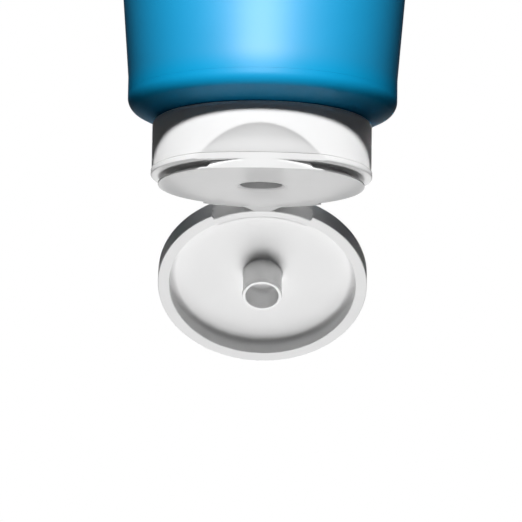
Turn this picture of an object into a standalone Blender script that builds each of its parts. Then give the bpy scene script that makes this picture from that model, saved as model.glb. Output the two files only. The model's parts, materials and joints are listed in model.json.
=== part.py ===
"""Squeeze tube with a press-fit flip-top dispensing closure, held cap down with its lid swung open.

Metres, +Z up. The tube's axis is Z and the origin is the grip point on that axis, halfway up the sleeve.
The closure hangs below: its deck faces down, its thumb scoop faces -Y and its hinge is at +Y.
Heights inside the closure are measured up from the deck's outer face, which lies at DECK_Z.
"""

from math import atan, cos, degrees, hypot, pi, radians, sin, sqrt, tan

import bmesh
import bpy

MM = 0.001
CLEARANCE = 0.3 * MM  # between solids that touch on the real closure

# Tube
SLEEVE_RADIUS = 25.5 * MM
SLEEVE_LENGTH = 184.0 * MM
SLEEVE_WALL = 0.7 * MM
CAVITY_REACH = 0.97  # share of the taper that the hollow fills
SEAL_HEIGHT = 9.0 * MM  # the crimped end, where both walls are welded flat
NECK_RADIUS = 9.0 * MM
NECK_BORE_RADIUS = 6.6 * MM
BEAD_HEIGHT = 0.6 * MM  # how far the neck's snap bead stands out
BEAD_Z = 6.6 * MM
NECK_LIP_GAP = 0.4 * MM  # between the neck's open end and the deck
NECK_LIP_FILLET = 0.3 * MM
HEAD_WALL = 1.6 * MM
HEAD_BORE_FILLET = 0.8 * MM
SHOULDER_SLOPE = 0.55
SHOULDER_CORNER = 2.6 * MM
SPIGOT_HEIGHT = 3.0 * MM  # the head's rim inside the sleeve's end
SPIGOT_WALL = 1.2 * MM
SPIGOT_FILLET = 1.0 * MM

# Closure
SKIRT_RADIUS = 20.75 * MM
SKIRT_WALL = 1.45 * MM
SKIRT_TOP = 12.3 * MM
SKIRT_FILLET = 1.0 * MM
LEDGE_LIP = 0.15 * MM  # how far the ledge stands out past the skirt
LEDGE_TOP = 2.8 * MM
PEDESTAL_SETBACK = 1.25 * MM  # how far the deck's edge lies inside the skirt
PEDESTAL_HEIGHT = 1.7 * MM
DECK_THICKNESS = 1.5 * MM
DECK_SPIGOT_HEIGHT = 1.6 * MM  # the deck's rim inside the skirt shell
ORIFICE_RADIUS = 4.05 * MM
ORIFICE_CHAMFER = 0.35 * MM
ORIFICE_BOSS_HEIGHT = 3.6 * MM
ORIFICE_BOSS_WALL = 1.5 * MM
ORIFICE_BOSS_DRAFT = 0.3 * MM  # how much narrower the boss is at the deck
COLLAR_WALL = 1.3 * MM
COLLAR_TOP = 9.6 * MM
COLLAR_FILLET = 0.3 * MM
COLLAR_RIB_Z = 8.0 * MM

# Thumb scoop: the closure's front is trimmed by a wide cylinder whose face leans back below SCOOP_TOP
SCOOP_TOP = 8.0 * MM
SCOOP_SLOPE = 0.33
SCOOP_RADIUS = 44.0 * MM
SCOOP_LENGTH = 160.0 * MM

# Lid, as it lies when closed, and its hinge
LID_SETBACK = 0.15 * MM  # how far the lid's wall lies inside the skirt
LID_HEIGHT = 4.8 * MM
LID_WALL = 2.25 * MM
LID_DEPTH = 3.4 * MM
LID_EDGE_FILLET = 1.3 * MM
LID_FLOOR_FILLET = 0.9 * MM
PLUG_WALL = 0.6 * MM
PLUG_REACH = 3.05 * MM  # how far the plug stands past the lid's rim
PLUG_SOCKET_DEPTH = 0.6 * MM
PLUG_FLOOR = 0.5 * MM
PLUG_BORE_FILLET = 0.4 * MM
PLUG_TIP_FILLET = 0.25 * MM
HINGE_HALF_WIDTH = 9.4 * MM
LUG_WIDTH = 1.7 * MM
LUG_OVERLAP = 0.4 * MM  # how far the lugs reach into the ledge
RIM_RECESS = 1.0 * MM  # how far the lid's rim is set back between the lugs
RIM_RECESS_HEIGHT = 2.0 * MM
STRAP_HALF_WIDTH = 3.3 * MM
WEB_THICKNESS = 0.4 * MM
STRAP_HEIGHT = 1.6 * MM
STRAP_DROP = 0.3 * MM  # how far the strap hangs below the deck
STRAP_TAPER = 0.5  # the strap's thickness at its foot, as a share of the webs'
LID_ANGLE = radians(142.5)  # opening angle at rest

LARGE_STEPS = 60
SMALL_STEPS = 36
CORNER_STEPS = 3
OVERRUN = 1 * MM  # how far a cutter reaches past the face that it cuts

# Worked out from the sizes above
LEDGE_RADIUS = SKIRT_RADIUS + LEDGE_LIP
PEDESTAL_RADIUS = SKIRT_RADIUS - PEDESTAL_SETBACK
LID_RADIUS = SKIRT_RADIUS - LID_SETBACK
LID_INNER_RADIUS = LID_RADIUS - LID_WALL
HINGE_Y = LID_RADIUS
NECK_LIP = DECK_THICKNESS + NECK_LIP_GAP
SHOULDER_SEAT = SKIRT_TOP + CLEARANCE
SHOULDER_RISE = SHOULDER_SLOPE * (SLEEVE_RADIUS - SKIRT_RADIUS)
SLEEVE_START = SHOULDER_SEAT + SHOULDER_RISE + 0.8 * SHOULDER_CORNER
DECK_Z = -(SLEEVE_START + CLEARANCE + SLEEVE_LENGTH / 2)
PLUG_RADIUS = ORIFICE_RADIUS - CLEARANCE
HINGE_Z = DECK_Z - CLEARANCE / 2

parts = bpy.data.collections.new("squeeze_tube_with_flip_top")
cutters = bpy.data.collections.new("cutters")


def clear_scene():
    for obj in list(bpy.data.objects):
        bpy.data.objects.remove(obj)
    bpy.context.scene.collection.children.link(parts)
    bpy.context.scene.collection.children.link(cutters)


def material(name, colour, roughness, alpha=1.0):
    made = bpy.data.materials.new(name)
    made.use_nodes = True
    shader = made.node_tree.nodes["Principled BSDF"]
    shader.inputs["Base Color"].default_value = (*colour, 1.0)
    shader.inputs["Roughness"].default_value = roughness
    shader.inputs["Metallic"].default_value = 0.0
    shader.inputs["Alpha"].default_value = alpha
    return made


def object_of(name, mesh, place, surface=None):
    """An object in the parts collection, or a cutter when it is given no material."""
    obj = bpy.data.objects.new(name, mesh)
    obj.location = place
    if surface is None:
        obj.hide_render = True
        obj.display_type = "WIRE"
        cutters.objects.link(obj)
    else:
        mesh.materials.append(surface)
        parts.objects.link(obj)
    return obj


def rounded(corners):
    """The outline through (radius, height, fillet) corners, each fillet drawn as a tangent arc."""
    outline = []
    count = len(corners)
    for i, (x, z, fillet) in enumerate(corners):
        if not fillet:
            outline.append((x, z))
            continue
        before, after = corners[i - 1], corners[(i + 1) % count]
        to_before = (before[0] - x, before[1] - z)
        to_after = (after[0] - x, after[1] - z)
        sides = [hypot(*to_before), hypot(*to_after)]
        a = (to_before[0] / sides[0], to_before[1] / sides[0])
        b = (to_after[0] / sides[1], to_after[1] / sides[1])
        half_angle = atan(hypot(a[0] - b[0], a[1] - b[1]) / hypot(a[0] + b[0], a[1] + b[1]))
        fillet = min(fillet, 0.95 * min(sides) * tan(half_angle))
        middle = (a[0] + b[0], a[1] + b[1])
        reach = fillet / sin(half_angle) / hypot(*middle)
        centre = (x + middle[0] * reach, z + middle[1] * reach)
        start = fillet / tan(half_angle)
        first = (x + a[0] * start - centre[0], z + a[1] * start - centre[1])
        last = (x + b[0] * start - centre[0], z + b[1] * start - centre[1])
        sweep = pi - 2 * half_angle
        for step in range(CORNER_STEPS + 1):
            t = step / CORNER_STEPS
            weights = (sin((1 - t) * sweep) / sin(sweep), sin(t * sweep) / sin(sweep))
            outline.append(
                (
                    centre[0] + weights[0] * first[0] + weights[1] * last[0],
                    centre[1] + weights[0] * first[1] + weights[1] * last[1],
                )
            )
    return outline


def turned(name, corners, place, surface=None, steps=LARGE_STEPS):
    """A closed outline of (radius, height, fillet) corners, down the outside first, turned about Z."""
    outline = rounded(corners)
    on_axis = outline[0][0] == 0
    mesh = bpy.data.meshes.new(name)
    edges = [(i, i + 1) for i in range(len(outline) - 1)]
    if not on_axis:
        edges.append((len(outline) - 1, 0))
    mesh.from_pydata([(x, 0, z) for x, z in outline], edges, [])
    obj = object_of(name, mesh, place, surface)
    screw = obj.modifiers.new("turn", "SCREW")
    screw.steps = screw.render_steps = steps
    screw.use_merge_vertices = on_axis
    screw.merge_threshold = 0.00001
    screw.use_smooth_shade = True
    return obj


def boolean(obj, other, operation):
    cut = obj.modifiers.new(f"{operation.lower()}_{other.name}", "BOOLEAN")
    cut.operation = operation
    cut.object = other
    cut.solver = "EXACT"


def box_cutter(name, low, high):
    mesh = bpy.data.meshes.new(name)
    shape = bmesh.new()
    bmesh.ops.create_cube(shape, size=1.0)
    bmesh.ops.scale(shape, vec=[b - a for a, b in zip(low, high)], verts=shape.verts)
    shape.to_mesh(mesh)
    shape.free()
    return object_of(name, mesh, [(a + b) / 2 for a, b in zip(low, high)])


def round_cutter(name, low_radius, high_radius, low, high, sides=LARGE_STEPS):
    """An upright cylinder or cone on the tube's axis, from height low to height high."""
    mesh = bpy.data.meshes.new(name)
    shape = bmesh.new()
    bmesh.ops.create_cone(
        shape, cap_ends=True, segments=sides, radius1=low_radius, radius2=high_radius, depth=high - low
    )
    shape.to_mesh(mesh)
    shape.free()
    return object_of(name, mesh, (0, 0, (low + high) / 2))


def scoop_cutter(name, inset):
    """The leaning cylinder that trims the closure's front, moved inwards by inset."""
    lean = atan(SCOOP_SLOPE)
    cutter = round_cutter(name, SCOOP_RADIUS - inset, SCOOP_RADIUS - inset, 0, SCOOP_LENGTH, 180)
    cutter.location = (
        0,
        -SKIRT_RADIUS + SCOOP_RADIUS * cos(lean),
        DECK_Z + SCOOP_TOP + SCOOP_RADIUS * sin(lean),
    )
    cutter.rotation_euler = (lean, 0, 0)
    return cutter


def sleeve_section(rise, inset):
    """One level of the flattened tube: rise 0 is the round end and 1 the seal, and the girth stays the same."""
    radius = SLEEVE_RADIUS
    ring = []
    for i in range(LARGE_STEPS):
        turn = 2 * pi * i / LARGE_STEPS
        side = 1 if turn < pi else -1
        along = turn if turn < pi else 2 * pi - turn
        x = (1 - rise) * radius * cos(along) + rise * radius * (pi / 2 - along)
        y = side * (1 - rise) * radius * sin(along)
        grow_x = 1 - inset / (radius * (1 + rise * (pi / 2 - 1)))
        flat_depth = (1 - rise) * radius
        grow_y = 1 - inset / flat_depth if flat_depth > 0 else 0
        ring.append((x * grow_x, y * grow_y))
    return ring


def lofted(name, levels, place, surface=None):
    """A closed solid through rings of equal length: each level is (height, ring of x and y)."""
    mesh = bpy.data.meshes.new(name)
    shape = bmesh.new()
    rings = [[shape.verts.new((x, y, z)) for x, y in ring] for z, ring in levels]
    for lower, upper in zip(rings, rings[1:]):
        for i in range(len(lower)):
            j = (i + 1) % len(lower)
            shape.faces.new((lower[i], lower[j], upper[j], upper[i]))
    shape.faces.new(list(reversed(rings[0])))
    shape.faces.new(rings[-1])
    bmesh.ops.triangulate(shape, faces=shape.faces)
    shape.to_mesh(mesh)
    shape.free()
    mesh.shade_smooth()
    mesh.set_sharp_from_angle(angle=radians(30))
    return object_of(name, mesh, place, surface)


def tube_sleeve(surface):
    """The frosted sleeve: round where it is welded to the head, pressed flat and welded at its far end."""
    start = DECK_Z + SLEEVE_START + CLEARANCE
    flat = 1 - SLEEVE_WALL / SLEEVE_RADIUS  # rise at which the two walls meet
    taper = SLEEVE_LENGTH - SEAL_HEIGHT - SPIGOT_HEIGHT

    def levels(last_rise, inset):
        steps = [last_rise * i / 7 for i in range(8)]
        return [(SPIGOT_HEIGHT + taper * rise / flat, sleeve_section(rise, inset)) for rise in steps]

    outer = [(0, sleeve_section(0, 0)), *levels(flat, 0), (SLEEVE_LENGTH, sleeve_section(flat, 0))]
    sleeve = lofted("tube_sleeve", outer, (0, 0, start), surface)
    last_rise = CAVITY_REACH * (1 - 2 * SLEEVE_WALL / SLEEVE_RADIUS)
    inner = [(-OVERRUN, sleeve_section(0, SLEEVE_WALL)), *levels(last_rise, SLEEVE_WALL)]
    boolean(sleeve, lofted("sleeve_cavity", inner, (0, 0, start)), "DIFFERENCE")


def tube_head(surface):
    """The moulded shoulder and neck, with a snap bead on the neck and a spigot that the sleeve is welded to."""
    corner_z = SHOULDER_SEAT + SHOULDER_RISE
    spigot_radius = SLEEVE_RADIUS - SLEEVE_WALL - CLEARANCE
    turned(
        "tube_head",
        [
            (spigot_radius, SLEEVE_START + SPIGOT_HEIGHT, 0),
            (spigot_radius, SLEEVE_START, 0),
            (SLEEVE_RADIUS, SLEEVE_START, 0),
            (SLEEVE_RADIUS, corner_z, SHOULDER_CORNER),
            (SKIRT_RADIUS, SHOULDER_SEAT, 0),
            (NECK_RADIUS, SHOULDER_SEAT, 0),
            (NECK_RADIUS, BEAD_Z + 2 * BEAD_HEIGHT, 0),
            (NECK_RADIUS + BEAD_HEIGHT, BEAD_Z + BEAD_HEIGHT, 0),
            (NECK_RADIUS, BEAD_Z - BEAD_HEIGHT, 0),
            (NECK_RADIUS, NECK_LIP, NECK_LIP_FILLET),
            (NECK_BORE_RADIUS, NECK_LIP, NECK_LIP_FILLET),
            (NECK_BORE_RADIUS, SHOULDER_SEAT + HEAD_WALL, HEAD_BORE_FILLET),
            (SKIRT_RADIUS, SHOULDER_SEAT + HEAD_WALL, 0),
            (spigot_radius - SPIGOT_WALL, corner_z + HEAD_WALL, SPIGOT_FILLET),
            (spigot_radius - SPIGOT_WALL, SLEEVE_START + SPIGOT_HEIGHT, 0),
        ],
        (0, 0, DECK_Z),
        surface,
    )


def skirt_shell(surface):
    """The closure's outer skirt, with the thumb scoop in its front and a wall that follows the scoop."""
    skirt = turned(
        "skirt_shell",
        [
            (0, SKIRT_TOP, 0),
            (SKIRT_RADIUS, SKIRT_TOP, SKIRT_FILLET),
            (SKIRT_RADIUS, LEDGE_TOP, 0),
            (0, LEDGE_TOP, 0),
        ],
        (0, 0, DECK_Z),
        surface,
    )
    boolean(skirt, scoop_cutter("skirt_front", 0), "INTERSECT")
    inner_radius = SKIRT_RADIUS - SKIRT_WALL
    cavity = turned(
        "skirt_cavity",
        [
            (0, SKIRT_TOP + OVERRUN, 0),
            (inner_radius, SKIRT_TOP + OVERRUN, 0),
            (inner_radius, LEDGE_TOP - OVERRUN, 0),
            (0, LEDGE_TOP - OVERRUN, 0),
        ],
        (0, 0, DECK_Z),
    )
    boolean(cavity, scoop_cutter("cavity_front", SKIRT_WALL), "INTERSECT")
    boolean(skirt, cavity, "DIFFERENCE")


def deck_insert(surface):
    """The flat deck with its dispensing orifice, on a pedestal below a ledge, with the hinge lugs at the rear."""
    ledge_top = LEDGE_TOP - CLEARANCE
    spigot_top = LEDGE_TOP + DECK_SPIGOT_HEIGHT
    scoop_front = SKIRT_RADIUS - SCOOP_SLOPE * (SCOOP_TOP - LEDGE_TOP)
    rim_radius = scoop_front - SKIRT_WALL / cos(atan(SCOOP_SLOPE)) - CLEARANCE
    boss_radius = ORIFICE_RADIUS + ORIFICE_BOSS_WALL
    deck = turned(
        "deck_insert",
        [
            (rim_radius, spigot_top, 0),
            (rim_radius, ledge_top, 0),
            (LEDGE_RADIUS, ledge_top, 0),
            (LEDGE_RADIUS, PEDESTAL_HEIGHT, 0),
            (PEDESTAL_RADIUS, PEDESTAL_HEIGHT, 0),
            (PEDESTAL_RADIUS, 0, 0),
            (ORIFICE_RADIUS + ORIFICE_CHAMFER, 0, 0),
            (ORIFICE_RADIUS, ORIFICE_CHAMFER, 0),
            (ORIFICE_RADIUS, ORIFICE_BOSS_HEIGHT, 0),
            (boss_radius, ORIFICE_BOSS_HEIGHT, 0),
            (boss_radius - ORIFICE_BOSS_DRAFT, DECK_THICKNESS, 0),
            (rim_radius - SKIRT_WALL, DECK_THICKNESS, 0),
            (rim_radius - SKIRT_WALL, spigot_top, 0),
        ],
        (0, 0, DECK_Z),
        surface,
    )
    lug = HINGE_HALF_WIDTH + LUG_WIDTH
    top = DECK_Z + PEDESTAL_HEIGHT + LUG_OVERLAP
    pad = round_cutter("hinge_pad", SKIRT_RADIUS, SKIRT_RADIUS, DECK_Z, top)
    pad_start = sqrt(PEDESTAL_RADIUS**2 - lug**2) - CLEARANCE
    pad_box = box_cutter(
        "hinge_pad_box", (-lug, pad_start, DECK_Z - OVERRUN), (lug, 2 * SKIRT_RADIUS, top + OVERRUN)
    )
    boolean(pad, pad_box, "INTERSECT")
    boolean(deck, pad, "UNION")
    boolean(deck, scoop_cutter("deck_front", 0), "INTERSECT")


def neck_collar(surface):
    """The ring inside the closure that snaps over the bead on the tube's neck."""
    inner = NECK_RADIUS + BEAD_HEIGHT + CLEARANCE
    rib = NECK_RADIUS + CLEARANCE
    turned(
        "neck_collar",
        [
            (inner + COLLAR_WALL, COLLAR_TOP, COLLAR_FILLET),
            (inner + COLLAR_WALL, DECK_THICKNESS + CLEARANCE, 0),
            (inner, DECK_THICKNESS + CLEARANCE, 0),
            (inner, COLLAR_RIB_Z, 0),
            (rib, COLLAR_RIB_Z + BEAD_HEIGHT, 0),
            (inner, COLLAR_TOP, 0),
        ],
        (0, 0, DECK_Z),
        surface,
        SMALL_STEPS,
    )


def lid_shell(surface, hinge):
    """The flat round lid, modelled closed under the deck and swung open with the hinge empty."""
    rim = -CLEARANCE
    floor = rim - LID_DEPTH
    bottom = rim - LID_HEIGHT
    socket = PLUG_RADIUS + CLEARANCE
    lid = turned(
        "lid_shell",
        [
            (0, floor - PLUG_SOCKET_DEPTH, 0),
            (socket, floor - PLUG_SOCKET_DEPTH, 0),
            (socket, floor, 0),
            (LID_INNER_RADIUS, floor, LID_FLOOR_FILLET),
            (LID_INNER_RADIUS, rim, 0),
            (LID_RADIUS, rim, 0),
            (LID_RADIUS, bottom, LID_EDGE_FILLET),
            (0, bottom, 0),
        ],
        (0, 0, DECK_Z),
        surface,
    )
    low = DECK_Z + rim - RIM_RECESS_HEIGHT
    high = DECK_Z + rim + OVERRUN
    recess = box_cutter(
        "rim_recess", (-HINGE_HALF_WIDTH, LID_RADIUS / 2, low), (HINGE_HALF_WIDTH, 2 * LID_RADIUS, high)
    )
    slope = RIM_RECESS / RIM_RECESS_HEIGHT
    reach = slope * (high - low)
    keep = round_cutter(
        "rim_recess_keep",
        LID_RADIUS + OVERRUN * slope,
        LID_RADIUS - reach - OVERRUN * slope,
        low - OVERRUN,
        high + OVERRUN,
    )
    boolean(recess, keep, "DIFFERENCE")
    boolean(lid, recess, "DIFFERENCE")
    for obj in (lid, recess, keep):
        hang(obj, hinge)


def sealing_plug(surface, hinge):
    """The hollow spigot on the lid that closes the orifice."""
    floor = -CLEARANCE - LID_DEPTH
    foot = floor - PLUG_SOCKET_DEPTH + CLEARANCE
    tip = -CLEARANCE + PLUG_REACH
    bore = PLUG_RADIUS - PLUG_WALL
    plug = turned(
        "sealing_plug",
        [
            (0, floor + PLUG_FLOOR, 0),
            (bore, floor + PLUG_FLOOR, PLUG_BORE_FILLET),
            (bore, tip, 0),
            (PLUG_RADIUS, tip, PLUG_TIP_FILLET),
            (PLUG_RADIUS, foot, 0),
            (0, foot, 0),
        ],
        (0, 0, DECK_Z),
        surface,
        SMALL_STEPS,
    )
    hang(plug, hinge)


def hang(obj, hinge):
    """Carry an object by the hinge empty, so that it swings open with the lid."""
    obj.parent = hinge
    obj.matrix_parent_inverse = hinge.matrix_world.inverted()


def on_lid(away, below):
    """World (y, z) of a point of the open lid: away from the hinge line, and below its closed rim plane."""
    return (
        HINGE_Y - away * cos(LID_ANGLE) + (below + CLEARANCE / 2) * sin(LID_ANGLE),
        HINGE_Z - away * sin(LID_ANGLE) - (below + CLEARANCE / 2) * cos(LID_ANGLE),
    )


def hinge_web(name, side, surface):
    """A thin snap web beside the strap: a plate from the deck's rear edge to the lid's set-back rim."""
    corners = []
    for x in (STRAP_HALF_WIDTH + 2 * CLEARANCE, HINGE_HALF_WIDTH - CLEARANCE):
        deck_y = sqrt(SKIRT_RADIUS**2 - x**2)
        rim_away = HINGE_Y - sqrt((LID_RADIUS - RIM_RECESS) ** 2 - x**2)
        rim_y, rim_z = on_lid(rim_away, 0)
        span = hypot(rim_y - deck_y, rim_z - DECK_Z)
        gap = (CLEARANCE + WEB_THICKNESS / 2) / span
        for share in (gap, 1 - gap):
            corners.append(
                (side * x, deck_y + share * (rim_y - deck_y), DECK_Z + share * (rim_z - DECK_Z))
            )
    order = (0, 1, 3, 2) if side < 0 else (0, 2, 3, 1)
    mesh = bpy.data.meshes.new(name)
    mesh.from_pydata([corners[i] for i in order], [], [(0, 1, 2, 3)])
    web = object_of(name, mesh, (0, 0, 0), surface)
    solidify = web.modifiers.new("thickness", "SOLIDIFY")
    solidify.thickness = WEB_THICKNESS
    solidify.offset = 0


def hinge_strap(surface):
    """The middle strap: a tapered film between the deck's rear edge and the lid's set-back wall."""

    def ring(thickness):
        x = STRAP_HALF_WIDTH
        return [(-x, 0), (x, 0), (x, thickness), (-x, thickness)]

    levels = [(-STRAP_DROP, ring(STRAP_TAPER * WEB_THICKNESS)), (STRAP_HEIGHT - STRAP_DROP, ring(WEB_THICKNESS))]
    lofted("hinge_strap", levels, (0, SKIRT_RADIUS + CLEARANCE, DECK_Z), surface)


def build():
    clear_scene()
    frosted = material("frosted_blue_sleeve", (0.05, 0.40, 0.75), 0.45, 0.85)
    moulded = material("blue_head", (0.04, 0.30, 0.62), 0.5)
    skirt_white = material("white_skirt", (0.90, 0.90, 0.90), 0.25)
    deck_white = material("white_deck", (0.88, 0.88, 0.88), 0.18)
    collar_white = material("white_collar", (0.86, 0.86, 0.86), 0.35)
    lid_white = material("white_lid", (0.88, 0.88, 0.88), 0.22)
    plug_white = material("white_plug", (0.84, 0.84, 0.84), 0.22)
    web_white = material("white_web", (0.85, 0.85, 0.85), 0.3)
    strap_white = material("white_strap", (0.83, 0.83, 0.83), 0.3)

    tube_sleeve(frosted)
    tube_head(moulded)
    skirt_shell(skirt_white)
    deck_insert(deck_white)
    neck_collar(collar_white)

    hinge = bpy.data.objects.new("lid_hinge_axis", None)
    hinge.location = (0, HINGE_Y, HINGE_Z)
    parts.objects.link(hinge)
    bpy.context.view_layer.update()
    lid_shell(lid_white, hinge)
    sealing_plug(plug_white, hinge)
    hinge.rotation_euler = (LID_ANGLE, 0, 0)

    hinge_web("hinge_web_left", -1, web_white)
    hinge_web("hinge_web_right", 1, web_white)
    hinge_strap(strap_white)
    print(f"lid open {degrees(LID_ANGLE):.1f} degrees, deck at {DECK_Z / MM:.2f} mm")


build()
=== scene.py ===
"""Squeeze tube with a flip-top closure, cap down and lid open: the finished surfaces, materials and studio.

All lengths are metres in the frame's own axes: Z is the tube's axis, the thumb scoop faces -Y and the lid's
hinge is at +Y. Heights inside the closure are measured up from the outer face of the deck.
"""

import json
import math

import bmesh
import bpy
import numpy as np
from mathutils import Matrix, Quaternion, Vector


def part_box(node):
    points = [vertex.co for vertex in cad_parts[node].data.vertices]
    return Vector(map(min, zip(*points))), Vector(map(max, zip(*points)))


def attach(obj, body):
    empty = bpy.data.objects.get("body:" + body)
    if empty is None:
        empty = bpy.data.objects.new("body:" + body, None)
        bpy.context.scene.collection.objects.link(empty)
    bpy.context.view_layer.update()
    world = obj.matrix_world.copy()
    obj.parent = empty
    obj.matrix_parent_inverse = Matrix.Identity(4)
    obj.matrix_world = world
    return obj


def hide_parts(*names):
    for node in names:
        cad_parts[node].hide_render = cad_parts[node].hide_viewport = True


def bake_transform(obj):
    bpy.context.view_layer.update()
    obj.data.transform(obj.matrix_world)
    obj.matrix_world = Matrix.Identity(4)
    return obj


bl_info = {
    "name": "Squeeze Tube With Flip-Top",
    "version": (1, 0, 0),
    "blender": (4, 5, 0),
    "location": "3D View > Sidebar > Squeeze Tube",
    "description": "Builds the tube, its closure, the open lid and a plain studio round a packed frame",
    "category": "Add Mesh",
}

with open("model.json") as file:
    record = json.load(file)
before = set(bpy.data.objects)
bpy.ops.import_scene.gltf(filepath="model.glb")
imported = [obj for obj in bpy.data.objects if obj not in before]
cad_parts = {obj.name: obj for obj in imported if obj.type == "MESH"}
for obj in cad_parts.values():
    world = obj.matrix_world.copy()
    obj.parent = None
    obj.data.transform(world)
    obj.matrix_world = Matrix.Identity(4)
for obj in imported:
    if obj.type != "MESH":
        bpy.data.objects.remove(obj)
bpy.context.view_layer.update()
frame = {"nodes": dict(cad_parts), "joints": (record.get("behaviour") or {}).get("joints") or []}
MM = 0.001

# Places and sizes read from the frame
HINGE = next(j for j in frame["joints"] if j["name"] == "lid_hinge")
HINGE_POINT = np.array(HINGE["pos_m"])
LID_ANGLE = -math.radians(HINGE["range_deg"][0])
DECK_LOW, DECK_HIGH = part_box("deck_insert")
SKIRT_LOW, SKIRT_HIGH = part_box("skirt_shell")
HEAD_LOW, HEAD_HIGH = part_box("tube_head")
SLEEVE_LOW, SLEEVE_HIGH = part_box("tube_sleeve")
DECK_Z = DECK_LOW.z
SKIRT_RADIUS = SKIRT_HIGH.x
SKIRT_BOTTOM = SKIRT_LOW.z - DECK_Z
SKIRT_TOP = SKIRT_HIGH.z - DECK_Z
LEDGE_RADIUS = DECK_HIGH.x
DECK_SPIGOT_TOP = DECK_HIGH.z - DECK_Z
SLEEVE_RADIUS = HEAD_HIGH.x
SLEEVE_START = SLEEVE_LOW.z - DECK_Z
SLEEVE_LENGTH = SLEEVE_HIGH.z - SLEEVE_LOW.z
HEAD_TOP = HEAD_HIGH.z - DECK_Z
NECK_LIP = HEAD_LOW.z - DECK_Z
LID_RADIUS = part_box("lid_shell")[1].x
PLUG_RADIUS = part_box("sealing_plug")[1].x
CLEARANCE = 2 * (DECK_Z - HINGE_POINT[2])


def millimetres(name, value, description):
    """A length property; value is in millimetres and the stored default in metres."""
    return bpy.props.FloatProperty(
        name=name, description=description, default=value * MM, min=0.0, unit="LENGTH", precision=5
    )


def colour(name, value, description):
    return bpy.props.FloatVectorProperty(
        name=name, description=description, default=value, size=3, min=0.0, max=1.0, subtype="COLOR"
    )


def share(name, value, description):
    return bpy.props.FloatProperty(
        name=name, description=description, default=value, min=0.0, max=1.0, subtype="FACTOR"
    )


class TubeSizes(bpy.types.PropertyGroup):
    """The tube's own sizes and finish."""

    sleeve_wall: millimetres("Sleeve wall", 0.7, "Thickness of the flexible sleeve")
    seal_height: millimetres("Seal height", 9.0, "Height of the flat welded end")
    seal_rib: millimetres("Seal rib", 1.4, "Spacing of the pressed ribs across the seal")
    neck_radius: millimetres("Neck radius", 9.0, "Outer radius of the neck")
    neck_bore: millimetres("Neck bore", 6.6, "Inner radius of the neck")
    head_wall: millimetres("Head wall", 1.6, "Wall of the moulded shoulder")
    shoulder_corner: millimetres("Shoulder corner", 2.6, "Radius of the turn from shoulder to sleeve")
    shoulder_slope: bpy.props.FloatProperty(
        name="Shoulder slope", description="Rise of the shoulder for each unit outwards", default=0.55
    )
    frost: colour("Frosted blue", (0.001, 0.39, 0.76), "Colour of the dyed sleeve and shoulder")
    blue_roughness: share("Blue roughness", 0.46, "Roughness of the dyed plastic itself")
    gleam_roughness: share("Gleam roughness", 0.55, "Width of the sleeve's soft gleam")
    gleam_fade: millimetres("Gleam fade", 4.2, "Height over which the gleam dies away towards the shoulder")


class ClosureSizes(bpy.types.PropertyGroup):
    """The skirt's and the deck's own sizes and finish."""

    skirt_wall: millimetres("Skirt wall", 1.45, "Wall of the outer skirt")
    skirt_fillet: millimetres("Skirt fillet", 1.0, "Rounding at the skirt's upper edge")
    pedestal_radius: millimetres("Pedestal radius", 19.5, "Radius of the deck below the ledge")
    pedestal_height: millimetres("Pedestal height", 1.7, "Height of the shadow gap under the ledge")
    undercut: millimetres("Undercut", 2.2, "How far the shadow gap reaches in behind the deck's edge")
    gap_lean: millimetres("Gap lean", 0.95, "How much further in the gap's wall lies at its top, also at the front")
    deck_edge: millimetres("Deck edge", 0.35, "Thickness of the deck's edge below the shadow gap")
    groove: millimetres("Groove", 0.05, "Width of the fine line between skirt and ledge")
    deck_thickness: millimetres("Deck thickness", 1.5, "Thickness of the flat deck")
    orifice_radius: millimetres("Orifice radius", 4.05, "Radius of the dispensing hole")
    orifice_lip: millimetres("Orifice lip", 0.35, "Rounding at the orifice's mouth")
    boss_height: millimetres("Boss height", 3.6, "Inner height of the tube round the orifice")
    boss_wall: millimetres("Boss wall", 1.5, "Wall of the tube round the orifice")
    scoop_top: millimetres("Scoop top", 8.0, "Height where the thumb scoop starts")
    scoop_radius: millimetres("Scoop radius", 44.0, "Radius of the wide cylinder that trims the front")
    scoop_slope: bpy.props.FloatProperty(
        name="Scoop slope", description="How far the scoop leans back for each unit down", default=0.33
    )
    scoop_dish: millimetres("Scoop dish", 0.22, "How much deeper the scoop turns in just below its edge")
    dish_reach: millimetres("Dish reach", 0.30, "Depth of cut over which the dish comes in")
    lug_half_width: millimetres("Lug half width", 11.1, "Half the distance across the hinge lugs")
    white: colour("Closure white", (0.90, 0.90, 0.90), "Colour of the skirt")
    deck_white: colour("Deck white", (0.88, 0.88, 0.88), "Colour of the deck")
    gloss: share("Gloss roughness", 0.16, "Roughness of the polished mould faces")
    satin: share("Satin roughness", 0.30, "Roughness of the satin mould faces")


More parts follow.
